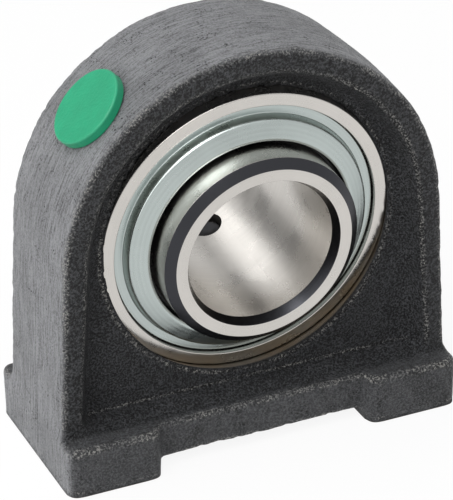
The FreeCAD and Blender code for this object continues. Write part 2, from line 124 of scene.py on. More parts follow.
HOUSING_LOW, HOUSING_HIGH = (np.array(corner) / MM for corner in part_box("housing"))
BORE, LAND, INNER_FRONT, INNER_REAR = span("inner_ring")
INNER_FACE_IN, INNER_FACE_OUT = radius_at("inner_ring", INNER_FRONT)
OUTER_LAND, SPHERE, RING_FRONT, RING_REAR = span("outer_ring")
SEAL_BORE = radius_at("outer_ring", RING_FRONT)[0]
SHELL_IN, SHELL_OUT, SHELL_TOP, SHELL_BACK = span("front_seal_shell")
LIP_IN, LIP_OUT, LIP_TIP, LIP_BACK = span("front_seal_lip")
WASHER_IN, WASHER_OUT, WASHER_FRONT, WASHER_BACK = span("front_seal_backing_washer")
BALL_LOW, BALL_HIGH = (np.array(corner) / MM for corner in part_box("ball_1"))
BALL_RADIUS = (BALL_HIGH - BALL_LOW)[0] / 2
PITCH_RADIUS = (BALL_HIGH + BALL_LOW)[0] / 2
SEAT = SPHERE + SEAT_GAP


# ------------------------------------------------------------ sizes and colours

def length_setting(name, description, default):
    """A length that the panel shows; its default is in millimetres."""
    return FloatProperty(name=name, description=description, unit="LENGTH",
                         default=default * MM)


def colour_setting(name, description, default):
    """A colour that the panel shows."""
    return FloatVectorProperty(name=name, description=description, subtype="COLOR",
                               size=3, default=default)


class CastingLook(bpy.types.PropertyGroup):
    """The painted casting."""
    voxel: length_setting("Skin step", "Spacing of the casting's skin", 0.45)
    waviness: length_setting("Waviness", "Depth of the casting's broad unevenness", 0.16)
    grain: length_setting("Grain", "Depth of the sand grain", 0.07)
    chips: length_setting("Chips", "Depth of the nicks along the edges", 0.22)
    crease: length_setting("Crease", "Height of the step across the foot of the web", -26.6)
    crease_depth: length_setting("Crease depth", "Depth of that step", 0.6)
    paint: colour_setting("Paint", "Colour of the paint", (0.027, 0.0278, 0.030))
    # Lighter paint on the arch's outside and the base's ends and faces: partly rubbed,
    # dust-covered paint and partly a painted sheen of the light falling on those faces.
    dust_and_sheen: colour_setting("Dusty paint", "Colour of the rubbed paint outside the arch",
                          (0.34, 0.345, 0.36))
    # Also the colour of the painted glints scattered over the paint.
    wear_and_glints: colour_setting("Worn edge", "Colour of iron showing through at the edges",
                         (0.42, 0.41, 0.38))
    machined: colour_setting("Machined iron", "Colour of the bare seat and underside",
                             (0.26, 0.24, 0.21))


class InsertLook(bpy.types.PropertyGroup):
    """The insert bearing."""
    around: IntProperty(
        name="Steps around", description="Steps round each turned piece", default=192)
    sheet: length_setting("Sheet", "Thickness of the seal's sheet metal", 0.4)
    ground_steel: colour_setting("Ground steel", "Colour of the ground rings",
                                 (0.66, 0.635, 0.60))
    # Also mixed into the outer ring's sphere as a painted reflection of the dark housing.
    dark_steel: colour_setting("Dark steel", "Colour of the chamfers left as hardened",
                               (0.048, 0.049, 0.055))
    ball_steel: colour_setting("Ball steel", "Colour of the balls", (0.80, 0.80, 0.81))
    zinc: colour_setting("Zinc", "Colour of the plated shells", (0.50, 0.555, 0.54))
    rubber: colour_setting("Rubber", "Colour of the seal lips", (0.012, 0.012, 0.013))
    nylon: colour_setting("Nylon", "Colour of the ball cage", (0.62, 0.56, 0.42))
    black_oxide: colour_setting("Black oxide", "Colour of the set screws",
                                (0.030, 0.030, 0.032))
    thread_pitch: length_setting("Thread pitch", "Pitch of the set screws", 1.0)
    socket: length_setting("Socket", "Width across the flats of the screws' sockets", 3.0)


class PlugLook(bpy.types.PropertyGroup):
    """The grease plug."""
    plastic: colour_setting("Plastic", "Colour of the plug", (0.012, 0.300, 0.150))
    rounding: length_setting("Rounding", "Rounding of the head's edge", 0.35)


class StageLook(bpy.types.PropertyGroup):
    """Camera, floor and lights."""
    camera_place: FloatVectorProperty(
        name="Camera", description="Place of the camera", subtype="TRANSLATION", size=3,
        unit="LENGTH", default=(-0.16256, -0.36269, 0.20660))
    camera_turn: FloatVectorProperty(
        name="Camera turn", description="Turns of the camera about X, Y and Z",
        subtype="EULER", size=3,
        default=tuple(math.radians(angle) for angle in (61.69, 0.58, -24.42)))
    focal_length: FloatProperty(
        name="Focal length", description="Of a camera 36 mm wide, in millimetres",
        default=200.1)
    floor: colour_setting("Floor", "Colour of the floor", (0.86, 0.86, 0.86))


# ------------------------------------------------------------ profiles and surfaces

def rounded(corners, steps=4, support=0.06):
    """A closed profile from corners of (radius, along, rounding, finish).

    Each corner with a rounding becomes a circular arc that touches both of its
    sides, at the rounding over the tangent of half the corner's angle from it.
    A point is added on each straight side a little way from each arc, so that
    the side stays flat when it is shaded smoothly.  The finish is that of the
    side after the corner, and it changes half way round the arc.
    """
    places = np.array([corner[:2] for corner in corners], float)
    rows = []
    for index, (place, (_, _, rounding, finish)) in enumerate(zip(places, corners)):
        finish_before = corners[index - 1][3]
        before = places[index - 1] - place
        after = places[(index + 1) % len(places)] - place
        before_length, after_length = np.hypot(*before), np.hypot(*after)
        before, after = before / before_length, after / after_length
        if not rounding:
            rows.append([*place, finish])
            continue
        half = math.acos(np.clip(before @ after, -1, 1)) / 2
        reach = min(rounding / math.tan(half), 0.48 * before_length, 0.48 * after_length)
        radius = reach * math.tan(half)
        middle = before + after
        centre = place + middle / np.hypot(*middle) * radius / math.sin(half)
        start = place + before * reach - centre
        end = place + after * reach - centre
        turn = math.atan2(start[0] * end[1] - start[1] * end[0], start @ end)
        angles = math.atan2(start[1], start[0]) + turn * np.linspace(0, 1, steps + 1)
        arc = centre + radius * np.column_stack([np.cos(angles), np.sin(angles)])
        margin = min(support, 0.4 * (before_length - reach), 0.4 * (after_length - reach))
        first = place + before * (reach + margin)
        last = place + after * (reach + margin)
        arc = np.vstack([first, arc, last])
        rows.extend([*point, finish if step > len(arc) / 2 - 1 else finish_before]
                    for step, point in enumerate(arc))
    return np.array(rows)


def arc_rows(centre, radius, start, end, steps, finish=0.0):
    """Points of an arc from one angle to another: centre plus radius times cosine, sine."""
    angles = np.radians(np.linspace(start, end, steps + 1))
    return np.column_stack([centre[0] + radius * np.cos(angles),
                            centre[1] + radius * np.sin(angles),
                            np.full(steps + 1, finish)])


def mirrored(profile):
    """The profile on the other side of the insert: along changes sign."""
    return profile[::-1] * np.array([1, -1, 1])


def linked(name, data):
    """A new object of some data, in the scene."""
    item = bpy.data.objects.new(name, data)
    bpy.context.scene.collection.objects.link(item)
    return item


def modified_mesh(item):
    """A new mesh of an object as its modifiers leave it."""
    return bpy.data.meshes.new_from_object(
        item.evaluated_get(bpy.context.evaluated_depsgraph_get()))


def finish_mesh(mesh, attributes):
    """Give a mesh its point attributes and smooth shading."""
    for key, values in attributes.items():
        layer = mesh.attributes.new(key, "FLOAT", "POINT")
        layer.data.foreach_set("value", np.ascontiguousarray(values, np.float32))
    mesh.polygons.foreach_set("use_smooth", np.ones(len(mesh.polygons), bool))
    mesh.update()


def write_mesh(name, points, faces, **attributes):
    """A new object of the given points (millimetres) and faces, with point attributes."""
    mesh = bpy.data.meshes.new(name)
    mesh.from_pydata((points * MM).tolist(), [], faces)
    finish_mesh(mesh, attributes)
    return linked(name, mesh)


def grid_faces(rows, columns, close_rows=True):
    """Quads of a grid whose columns close up; its rows close up too if asked."""
    last = rows if close_rows else rows - 1
    row, column = np.meshgrid(np.arange(last), np.arange(columns), indexing="ij")
    row, column = row.ravel(), column.ravel()
    row_next, column_next = (row + 1) % rows, (column + 1) % columns
    return np.column_stack([row * columns + column, row_next * columns + column,
                            row_next * columns + column_next,
                            row * columns + column_next])


def along_profile(profile):
    """Distance run along a profile at each of its points, in metres."""
    steps = np.hypot(*np.diff(profile[:, :2], axis=0).T)
    return np.concatenate([[0], np.cumsum(steps)]) * MM


def turned_ring(name, profile, around):
    """A ring about the insert's axis.

    A point at radius r and place a of the profile, turned by the angle t, is
    at x = r cos t, y = a, z = r sin t; then the insert's lean is applied.
    """
    angles = np.linspace(0, 2 * math.pi, around, endpoint=False)
    radii, along = profile[:, 0, None], profile[:, 1, None]
    grid = np.stack([radii * np.cos(angles), along + 0 * angles, radii * np.sin(angles)],
                    axis=2)
    area = np.sum(profile[:, 0] * np.roll(profile[:, 1], -1)
                  - np.roll(profile[:, 0], -1) * profile[:, 1])
    faces = grid_faces(len(profile), around)
    if area < 0:
        faces = faces[:, ::-1]
    return write_mesh(name, leaned(grid.reshape(-1, 3)), faces.tolist(),
                      along=np.repeat(along_profile(profile), around),
                      finish=np.repeat(profile[:, 2], around))


def grid_about_z(radii, heights, steps):
    """Rows of points about Z, one row for each radius and height."""
    turn = np.linspace(0, 2 * math.pi, steps, endpoint=False)
    radii, heights = np.reshape(radii, (-1, 1)), np.reshape(heights, (-1, 1))
    return np.stack([radii * np.cos(turn), radii * np.sin(turn), heights + 0 * turn],
                    axis=2)


def capped_surface(name, grid, place):
    """A closed surface from a grid of rows, from one pole to the other.

    The first and last rows are each drawn together into one point, their mean,
    and joined to their neighbours by triangles.  place maps the points.
    """
    rows, columns = grid.shape[:2]
    body = grid[1:-1].reshape(-1, 3)
    poles = np.array([grid[0].mean(0), grid[-1].mean(0)])
    points = np.vstack([body, poles])
    first, last = len(body), len(body) + 1
    column = np.arange(columns)
    after = (column + 1) % columns
    end = (rows - 3) * columns
    quads = grid_faces(rows - 2, columns, close_rows=False)[:, ::-1]
    start_cap = np.column_stack([np.full(columns, first), after, column])
    end_cap = np.column_stack([np.full(columns, last), end + column, end + after])
    faces = quads.tolist() + start_cap.tolist() + end_cap.tolist()
    return write_mesh(name, place(points), faces)


def frame_about(axis, origin):
    """A map to the model's frame from one whose Z is the axis, at the origin given."""
    up = np.array(axis) / np.linalg.norm(axis)
    side = np.cross((0, 1, 0), up)
    side /= np.linalg.norm(side)
    basis = np.array([side, np.cross(up, side), up])
    return lambda points: points @ basis + np.array(origin)


# ------------------------------------------------------------ random heights

def lattice_noise(points, size, seed):
    """Smooth random heights from -1 to 1.

    Random values on a cubic lattice of the given size are blended along each
    axis with the weight 3 t^2 - 2 t^3, where t is the place in the cell.
    """
    cells = points / size
    low = np.floor(cells).astype(int)
    part = cells - low
    part = part * part * (3 - 2 * part)
    low -= low.min(0)
    values = np.random.default_rng(seed).uniform(-1, 1, low.max(0) + 2)
    total = np.zeros(len(points))
    for corner in np.ndindex(2, 2, 2):
        weight = np.prod(np.where(corner, part, 1 - part), axis=1)
        total += weight * values[tuple((low + corner).T)]
    return total


def layered_noise(points, size, seed, layers=3):
    """Lattice noise at the given size and at each half of it, each half as high."""
    return sum(lattice_noise(points, size / 2 ** layer, seed + layer) / 2 ** layer
               for layer in range(layers))


def neighbour_mean(values, edges, count):
    """The mean of each vertex's neighbours, column by column."""
    ends = np.concatenate([edges[:, 0], edges[:, 1]])
    others = np.concatenate([edges[:, 1], edges[:, 0]])
    number = np.bincount(ends, minlength=count)
    columns = [np.bincount(ends, weights=values[others, axis], minlength=count) / number
               for axis in range(values.shape[1])]
    return np.column_stack(columns)


# ------------------------------------------------------------ shader building

def add(tree, kind, inputs=None, **settings):
    """A node with its settings; inputs are plain values or sockets to link."""
    item = tree.nodes.new(kind)
    for key, value in settings.items():
        setattr(item, key, value)
    for key, value in (inputs or {}).items():
        if isinstance(value, bpy.types.NodeSocket):
            tree.links.new(value, item.inputs[key])
        else:
            item.inputs[key].default_value = value
    return item


def calc(tree, operation, first, second=0.0, third=0.0):
    item = add(tree, "ShaderNodeMath", {0: first, 1: second, 2: third},
               operation=operation)
    return item.outputs[0]


def times(tree, first, second):
    return calc(tree, "MULTIPLY", first, second)


def ramp(tree, value, low, high, out_low=0.0, out_high=1.0):
    """The value carried smoothly from one range to another, and held at its ends."""
    item = add(tree, "ShaderNodeMapRange", {"Value": value, 1: low, 2: high,
                                            3: out_low, 4: out_high},
               interpolation_type="SMOOTHSTEP")
    return item.outputs[0]


def blend_colour(tree, factor, first, second):
    item = add(tree, "ShaderNodeMix", {0: factor, 6: first, 7: second}, data_type="RGBA")
    return item.outputs[2]


def blend_value(tree, factor, first, second):
    item = add(tree, "ShaderNodeMix", {0: factor, 2: first, 3: second}, data_type="FLOAT")
    return item.outputs[0]


def noise(tree, vector, scale, detail=3.0, roughness=0.5):
    item = add(tree, "ShaderNodeTexNoise", {"Vector": vector, "Scale": scale,
                                            "Detail": detail, "Roughness": roughness})
    return item.outputs[0]


def attribute(tree, name):
    return add(tree, "ShaderNodeAttribute", attribute_name=name).outputs["Fac"]


def object_place(tree):
    return add(tree, "ShaderNodeTexCoord").outputs["Object"]


def rgba(colour, share=1.0):
    """The colour with its alpha, made darker or lighter by a share."""
    return (*(value * share for value in colour), 1.0)


def effect_group(name, inputs, outputs):
    """A new node group with its sockets, and its input and output nodes."""
    tree = bpy.data.node_groups.new(name, "ShaderNodeTree")
    for label, kind, default in inputs:
        socket = tree.interface.new_socket(label, in_out="INPUT", socket_type=kind)
        if default is not None:
            socket.default_value = default
    for label, kind in outputs:
        tree.interface.new_socket(label, in_out="OUTPUT", socket_type=kind)
    entry = tree.nodes.new("NodeGroupInput")
    leave = tree.nodes.new("NodeGroupOutput")
    return tree, entry.outputs, leave.inputs


def make_smudges():
    """Broad uneven patches and fine ones, from two noises of one place."""
    tree, given, result = effect_group(
        "smudges",
        [("Vector", "NodeSocketVector", None), ("Scale", "NodeSocketFloat", 200.0)],
        [("Mask", "NodeSocketFloat"), ("Fine", "NodeSocketFloat")])
    broad = noise(tree, given["Vector"], given["Scale"], 4.0, 0.6)
    finer = times(tree, given["Scale"], 9.0)
    fine = noise(tree, given["Vector"], finer, 3.0, 0.6)
    tree.links.new(ramp(tree, broad, 0.3, 0.7), result["Mask"])
    tree.links.new(ramp(tree, fine, 0.3, 0.7), result["Fine"])
    return tree


def make_turned_lines():
    """Fine lines round a turned or ground piece, from the distance along its profile."""
    tree, given, result = effect_group(
        "turned_lines",
        [("Vector", "NodeSocketVector", None), ("Along", "NodeSocketFloat", 0.0),
         ("Lines", "NodeSocketFloat", 6000.0)],
        [("Height", "NodeSocketFloat"), ("Shade", "NodeSocketFloat")])
    wander = noise(tree, given["Vector"], 60.0, 2.0)
    shifted = calc(tree, "MULTIPLY_ADD", wander, 0.0004, given["Along"])
    place = times(tree, shifted, given["Lines"])
    broad_place = times(tree, place, 0.13)
    lines, broad = (add(tree, "ShaderNodeTexNoise", {"W": at, "Scale": 1.0, "Detail": detail},
                        noise_dimensions="1D").outputs[0]
                    for at, detail in ((place, 3.0), (broad_place, 2.0)))
    tree.links.new(lines, result["Height"])
    shade = calc(tree, "MULTIPLY_ADD", lines, 0.6, times(tree, broad, 0.4))
    tree.links.new(ramp(tree, shade, 0.3, 0.7), result["Shade"])
    return tree


def make_sand_grain():
    """The skin of a sand casting: rounded grains with pits between them."""
    tree, given, result = effect_group(
        "sand_grain",
        [("Vector", "NodeSocketVector", None), ("Scale", "NodeSocketFloat", 1500.0)],
        [("Height", "NodeSocketFloat"), ("Pits", "NodeSocketFloat")])
    grains = noise(tree, given["Vector"], given["Scale"], 4.0, 0.65)
    cells = add(tree, "ShaderNodeTexVoronoi",
                {"Vector": given["Vector"],
                 "Scale": times(tree, given["Scale"], 0.6)},
                feature="F1").outputs["Distance"]
    scatter = noise(tree, given["Vector"], times(tree, given["Scale"], 0.12),
                    2.0)
    few = ramp(tree, scatter, 0.52, 0.70)
    pits = times(tree, ramp(tree, cells, 0.34, 0.10), few)
    height = calc(tree, "MULTIPLY_ADD", pits, -0.6, grains)
    tree.links.new(height, result["Height"])
    tree.links.new(pits, result["Pits"])
    return tree


EFFECTS = {"smudges": make_smudges, "turned_lines": make_turned_lines,
           "sand_grain": make_sand_grain}


def effect(tree, name, inputs):
    """An instance of a shared effect, made the first time that it is asked for."""
    group = bpy.data.node_groups.get(name) or EFFECTS[name]()
    return add(tree, "ShaderNodeGroup", inputs, node_tree=group).outputs


def new_material(name):
    """A new material with its tree and its Principled shader."""
    material = bpy.data.materials.new(name)
    material.use_nodes = True
    tree = material.node_tree
    tree.nodes.clear()
    output = tree.nodes.new("ShaderNodeOutputMaterial")
    shader = add(tree, "ShaderNodeBsdfPrincipled")
    tree.links.new(shader.outputs[0], output.inputs["Surface"])
    return material, tree, shader


def set_shader(tree, shader, **inputs):
    """Set or link the inputs of a Principled shader; underscores stand for spaces."""
    for key, value in inputs.items():
        socket = shader.inputs[key.replace("_", " ")]
        if isinstance(value, bpy.types.NodeSocket):
            tree.links.new(value, socket)
        else:
            socket.default_value = value


def bump(tree, height, distance):
    """A normal tilted by the height, whose full range stands the distance high."""
    return add(tree, "ShaderNodeBump", {"Height": height, "Distance": distance,
                                        "Strength": 1.0}).outputs[0]


# ------------------------------------------------------------ materials

def cast_paint(look):
    """Dark paint on cast iron, with bare machined faces and edges rubbed through to the iron.
    Painted light: a sheen over the dust outside the arch, highlights on grain tops, shade in
    grain hollows and pits, glints as light specks, and a highlight along the crease.
    """
    material, tree, shader = new_material("cast_paint")
    place = object_place(tree)
    edge, skin = attribute(tree, "edge"), attribute(tree, "skin")
    grain = effect(tree, "sand_grain", {"Vector": place, "Scale": 3000.0})
    smudge = effect(tree, "smudges", {"Vector": place, "Scale": 140.0})

    parts = add(tree, "ShaderNodeSeparateXYZ", {0: place}).outputs
    from_centre = add(tree, "ShaderNodeVectorMath", {0: place},
                      operation="LENGTH").outputs["Value"]
    seat = ramp(tree, from_centre, (SEAT + 0.10) * MM, (SEAT + 0.02) * MM)
    under = ramp(tree, parts[2], (HOUSING_LOW[2] + 0.10) * MM,
                 (HOUSING_LOW[2] + 0.03) * MM)
    inside = ramp(tree, calc(tree, "ABSOLUTE", parts[1]), 7.7 * MM, 7.2 * MM)
    bare = calc(tree, "MAXIMUM", times(tree, seat, inside), under)
    angle = calc(tree, "ARCTAN2", calc(tree, "SUBTRACT", parts[2], ARCH_CENTRE * MM),
                 parts[0])
    stroke = add(tree, "ShaderNodeCombineXYZ", {0: times(tree, angle, 0.0022),
                                                1: parts[1]}).outputs[0]
    strokes = noise(tree, stroke, 5200.0, 4.0, 0.65)
    patchy = ramp(tree, noise(tree, place, 90.0, 3.0), 0.42, 0.62)
    rubbed = times(tree, skin, patchy)
    stroke_height = times(tree, strokes, rubbed)

    # Grain tops painted lighter and grain hollows darker: a painted highlight and painted shade
    # on the grain.
    dark, light = rgba(look.paint, 0.12), rgba(look.paint, 3.2)
    # Rubbed, dust-covered paint, lighter also as a painted sheen of the light on the arch's
    # outside.
    dull = rgba(look.dust_and_sheen, 0.25)
    long_strokes = noise(tree, stroke, 1900.0, 5.0, 0.75)
    streaks = calc(tree, "MULTIPLY_ADD", strokes, 0.35,
                   times(tree, long_strokes, 0.35))
    streaks = calc(tree, "MULTIPLY_ADD", grain["Height"], 0.3, streaks)
    dust_and_sheen = blend_colour(tree, ramp(tree, streaks, 0.39, 0.55), dull,
                         rgba(look.dust_and_sheen))
    tone = blend_colour(tree, ramp(tree, grain["Height"], 0.40, 0.66), dark, light)
    tone = blend_colour(tree, times(tree, smudge["Mask"], 0.25), tone, dark)
    # The skin attribute lays on the dust and its painted sheen.
    colour = blend_colour(tree, times(tree, skin, 0.95), tone, dust_and_sheen)
    # Pits painted near black: painted shade in them.
    colour = blend_colour(tree, times(tree, grain["Pits"], 0.9), colour, dark)
    flecks = ramp(tree, noise(tree, place, 3000.0, 3.0, 0.7), 0.50, 0.62)
    # Light specks scattered over the paint: painted glints on the grain.
    glint_specks = ramp(tree, noise(tree, place, 5200.0, 2.0, 0.6), 0.68, 0.74)
    wear_and_glints = times(tree, ramp(tree, edge, 0.32, 0.85), flecks)
    wear_and_glints = times(tree, wear_and_glints, ramp(tree, smudge["Mask"], 0.0, 1.0, 0.3, 1.0))
    # The iron colour of the edges also goes on these painted glints.
    wear_and_glints = calc(tree, "MAXIMUM", wear_and_glints, times(tree, glint_specks, 0.5))
    colour = blend_colour(tree, wear_and_glints, colour, rgba(look.wear_and_glints))
    rusty = [look.machined[0], look.machined[1] * 0.86, look.machined[2] * 0.70]
    iron = blend_colour(tree, smudge["Mask"], rgba(look.machined), rgba(rusty))
    colour = blend_colour(tree, bare, colour, iron)

    rough = blend_value(tree, smudge["Fine"], 0.42, 0.58)
    rough = blend_value(tree, bare, rough, 0.38)
    height = calc(tree, "MULTIPLY_ADD", stroke_height, 0.8, grain["Height"])
    cover = calc(tree, "SUBTRACT", 1.0, times(tree, bare, 0.9))
    normal = bump(tree, times(tree, height, cover), 0.0008)
    set_shader(tree, shader, Base_Color=colour, Roughness=rough, Metallic=bare,
               Normal=normal, Specular_IOR_Level=0.3)
    return material


def turned_metal(name, colour, dark, lines, roughness, dark_roughness, relief):
    """Metal with fine lines round it; the attribute finish picks the dark scale, and on the
    outer ring's sphere a share of it stands for a painted reflection of the dark housing.
    """
    material, tree, shader = new_material(name)
    place = object_place(tree)
    finish = attribute(tree, "finish")
    turned = effect(tree, "turned_lines", {"Vector": place, "Along": attribute(tree, "along"),
                                           "Lines": lines})
    smudge = effect(tree, "smudges", {"Vector": place, "Scale": 160.0})
    shade = calc(tree, "MULTIPLY_ADD", turned["Shade"], 0.5,
                 times(tree, smudge["Mask"], 0.5))
    bright = blend_colour(tree, shade, rgba(colour, 0.86),
                          rgba(colour))
    base = blend_colour(tree, finish, bright, rgba(dark))
    low, high = roughness
    rough = blend_value(tree, smudge["Mask"], low, high)
    rough = blend_value(tree, finish, rough, dark_roughness)
    around = add(tree, "ShaderNodeTangent", direction_type="RADIAL", axis="Y").outputs[0]
    set_shader(tree, shader, Base_Color=base, Roughness=rough, Metallic=1.0,
               Anisotropic=0.6, Tangent=around,
               Normal=bump(tree, turned["Height"], relief))
    return material


def plain_surface(name, colour, roughness, metallic, scale, relief, **extra):
    """A smooth finish with faint patches in its colour and gloss and a fine grain."""
    material, tree, shader = new_material(name)
    place = object_place(tree)
    smudge = effect(tree, "smudges", {"Vector": place, "Scale": scale})
    base = blend_colour(tree, smudge["Mask"], rgba(colour, 0.88),
                        rgba(colour))
    low, high = roughness
    set_shader(tree, shader, Base_Color=base, Metallic=metallic,
               Roughness=blend_value(tree, smudge["Fine"], low, high),
               Normal=bump(tree, smudge["Fine"], relief), **extra)
    return material


# ------------------------------------------------------------ placing pieces

def keep(piece, material, body, slot, *nodes):
    """Give a finished piece its material and tie it to the frame."""
    piece.data.materials.clear()
    piece.data.materials.append(material)
    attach(piece, body)
    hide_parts(*nodes)


def ring_steel(look):
    """The steel of both rings, made the first time that it is asked for."""
    return bpy.data.materials.get("ground_ring_steel") or turned_metal(
        "ground_ring_steel", look.ground_steel, look.dark_steel, 7000.0, (0.24, 0.34), 0.24,
        0.000006)


# ------------------------------------------------------------ the casting

def skinned_copy(name, node, voxel):
    """A closed, even skin over a copy of a CAD node, its doubles merged first."""
    mesh = frame["nodes"][node].data.copy()
    work = bmesh.new()
    work.from_mesh(mesh)
    bmesh.ops.remove_doubles(work, verts=work.verts, dist=0.001 * MM)
    work.to_mesh(mesh)
    work.free()
    source = linked(f"{name}_source", mesh)
    skin = source.modifiers.new("skin", "REMESH")
    skin.mode = "VOXEL"
    skin.voxel_size = voxel
    result = modified_mesh(source)
    bpy.data.objects.remove(source)
    return linked(name, result)


def shape_casting(piece, look):
    """Give the skin its rounded, uneven cast faces and its true machined ones.

    Each vertex moves half way to the mean of its neighbours, five times over,
    and then inwards by layered noise, which fades out towards the seat's rims.
    Edges are found as the vertices that this rounding takes furthest in.  The web is let in a
    little under the crease.  The attribute edge says where the paint is rubbed through to the
    iron, and along the crease it lays a painted highlight.  The attribute skin says where the
    paint is rubbed and dust-covered and shows a painted sheen of the light on it.  The spherical
    seat, its two rims and the underside are put back on their exact surfaces.
    """
    rounding_passes, even_passes = 5, 2
    full_edge = 0.22            # rounding, in skin steps, that counts as a full edge
    rim_fade = 1.5              # from a rim to where the cast face is at its roughest
    body_inset = 3.0            # front and back margins of the arch's outside, with its dust and painted sheen
    wall_over_sphere = 4.0      # the outside starts this far over the insert's sphere
    end_depth = 2.5             # depth of the base's ends that get the dust and painted sheen
    base_front, base_rise = 12.0, 9.0   # where the base's front and back faces are
    # Share of dust and painted sheen on the base's front and back faces.
    base_dust_and_sheen = 0.16
    web_depth = 1.2             # from the web's face to what moves with it
    web_end = 6.5               # from the base's ends to the ends of the crease
    # The second width is that of a painted highlight laid along the crease.
    crease_blur, crease_highlight = 0.12, 0.3

    mesh = piece.data
    count = len(mesh.vertices)
    points = vertex_rows(mesh, "co") / MM
    pairs = np.empty(len(mesh.edges) * 2, int)
    mesh.edges.foreach_get("vertices", pairs)
    edges = pairs.reshape(-1, 2)
    original = points.copy()
    for _ in range(rounding_passes):
        points += 0.5 * (neighbour_mean(points, edges, count) - points)

    mesh.vertices.foreach_set("co", (points * MM).ravel())
    mesh.update()
    normals = vertex_rows(mesh, "normal")
    proud = np.sum(normals * (original - points), axis=1)[:, None]
    for _ in range(even_passes):
        proud = neighbour_mean(proud, edges, count)
    edge = np.clip(proud[:, 0] / (full_edge * look.voxel / MM), 0, 1)

    rim = math.sqrt(SEAT ** 2 - WEB_HALF ** 2)
    length = np.linalg.norm(original, axis=1)
    aside, from_middle = np.abs(original[:, 0]), np.abs(original[:, 1])
    height = original[:, 2]
    around = np.hypot(aside, height)
    base = HOUSING_LOW[2]
    near = 0.75 * look.voxel / MM
    rim_distance = np.hypot(around - rim, from_middle - WEB_HALF)
    on_seat = (np.abs(length - SEAT) < near) & (from_middle < WEB_HALF + near)
    on_rim = rim_distance < near
    under = height < base + near
    true_faces = on_seat | on_rim | under

    outside = from_middle < HOUSING_HIGH[1] - body_inset
    outside &= around > SPHERE + wall_over_sphere
    outward = normals[:, 0] * original[:, 0] + normals[:, 2] * height
    # skin: faces that look outwards from the arch, the base's end faces and, a little, its front
    # and back faces; the paint is lighter there, partly from dust and partly as a painted sheen
    # of the light on them.
    skin = np.clip((outward / np.maximum(around, 1) - 0.6) / 0.25, 0, 1) * outside
    skin = np.maximum(skin, np.clip((np.abs(normals[:, 0]) - 0.7) / 0.2, 0, 1)
                      * (aside > HOUSING_HIGH[0] - end_depth))
    skin = np.maximum(skin, base_dust_and_sheen * ((from_middle > base_front)
                                         & (height < base + base_rise)))
    for _ in range(even_passes):
        skin = neighbour_mean(skin[:, None], edges, count)[:, 0]
    painted = np.clip((rim_distance - near) / rim_fade, 0, 1) * (1 - true_faces)

    on_web = (np.abs(from_middle - WEB_HALF) < web_depth) & (around > rim + 1) & ~under
    on_web &= aside < HOUSING_HIGH[0] - web_end
    over_crease = height - look.crease / MM
    below = 1 / (1 + np.exp(over_crease / crease_blur))
    points[:, 1] -= np.sign(original[:, 1]) * look.crease_depth / MM * below * on_web
    # A painted highlight along the crease: the edge attribute, which lightens the paint, is
    # raised there.
    edge = np.maximum(edge, on_web * np.exp(-(over_crease / crease_highlight) ** 2))
    broad = 0.2 + 0.5 * layered_noise(original, 5.0, 11)
    fine = 0.5 + 0.5 * layered_noise(original, 1.3, 23, 2)
    nicks = np.clip(lattice_noise(original, 1.1, 37), 0, 1) * edge
    depth = (look.waviness * broad + look.grain * fine + look.chips * nicks) / MM
    points -= normals * (depth * painted)[:, None]

    unit = original / length[:, None]
    points[on_seat] = unit[on_seat] * SEAT
    rim_points = original[on_rim]
    rim_points[:, [0, 2]] *= (rim / around[on_rim])[:, None]
    rim_points[:, 1] = np.sign(rim_points[:, 1]) * WEB_HALF
    points[on_rim] = rim_points
    points[under, 2] = base
    points = np.clip(points, HOUSING_LOW, HOUSING_HIGH)

    mesh.vertices.foreach_set("co", (points * MM).ravel())
    finish_mesh(mesh, {"edge": edge * ~true_faces, "skin": skin})


class BEARING_OT_casting(bpy.types.Operator):
    """Build the painted cast housing"""
    bl_idname = "bearing.casting"
    bl_label = "Casting"

    def execute(self, context):
        look = context.scene.bearing_casting
        piece = skinned_copy("housing_casting", "housing", look.voxel)
        shape_casting(piece, look)
        keep(piece, cast_paint(look), "housing", "cast_housing", "housing")
        return {"FINISHED"}


# ------------------------------------------------------------ the insert

def outer_ring_profile():
    """The outer ring: a sphere outside, flat faces, stepped bores and a ball race."""
    edge = math.sqrt(SPHERE ** 2 - RING_REAR ** 2)
    shelf = abs(WASHER_BACK) - 0.02
    groove_place, groove_radius = -1.2, 0.8
    painted_reflection_share = 0.2             # share of dark steel on the sphere: a painted reflection of the dark housing
    margin = 3              # degrees from the ring's edge to the start of the sphere's arc
    limit = math.degrees(math.asin(RING_REAR / SPHERE))
    groove = math.degrees(groove_radius / SPHERE)
    middle = math.degrees(math.asin(groove_place / SPHERE))
    race = RACE_SHARE * 2 * BALL_RADIUS
    race_centre = PITCH_RADIUS + BALL_RADIUS + RACE_GAP - race
    race_edge = math.degrees(math.acos((OUTER_LAND - race_centre) / race))
    front = rounded([(OUTER_LAND, -shelf, 0.1, 0), (SEAL_BORE, -shelf, 0.15, 0),
                     (SEAL_BORE, RING_FRONT, 0.15, 0), (edge, RING_FRONT, 0.3, painted_reflection_share),
                     (SPHERE * math.cos(math.radians(limit - margin)),
                      -SPHERE * math.sin(math.radians(limit - margin)), 0, painted_reflection_share)])
    lower = arc_rows((0, 0), SPHERE, -limit + margin, middle - groove, 12, painted_reflection_share)
    dip = arc_rows((SPHERE, groove_place), groove_radius, 270, 90, 8, painted_reflection_share)
    upper = arc_rows((0, 0), SPHERE, middle + groove, limit - margin, 14, painted_reflection_share)
    rear = mirrored(front)
    ball_race = arc_rows((race_centre, 0), race, race_edge, -race_edge, 16)
    return np.vstack([front[:-1], lower, dip, upper, rear[1:], ball_race])


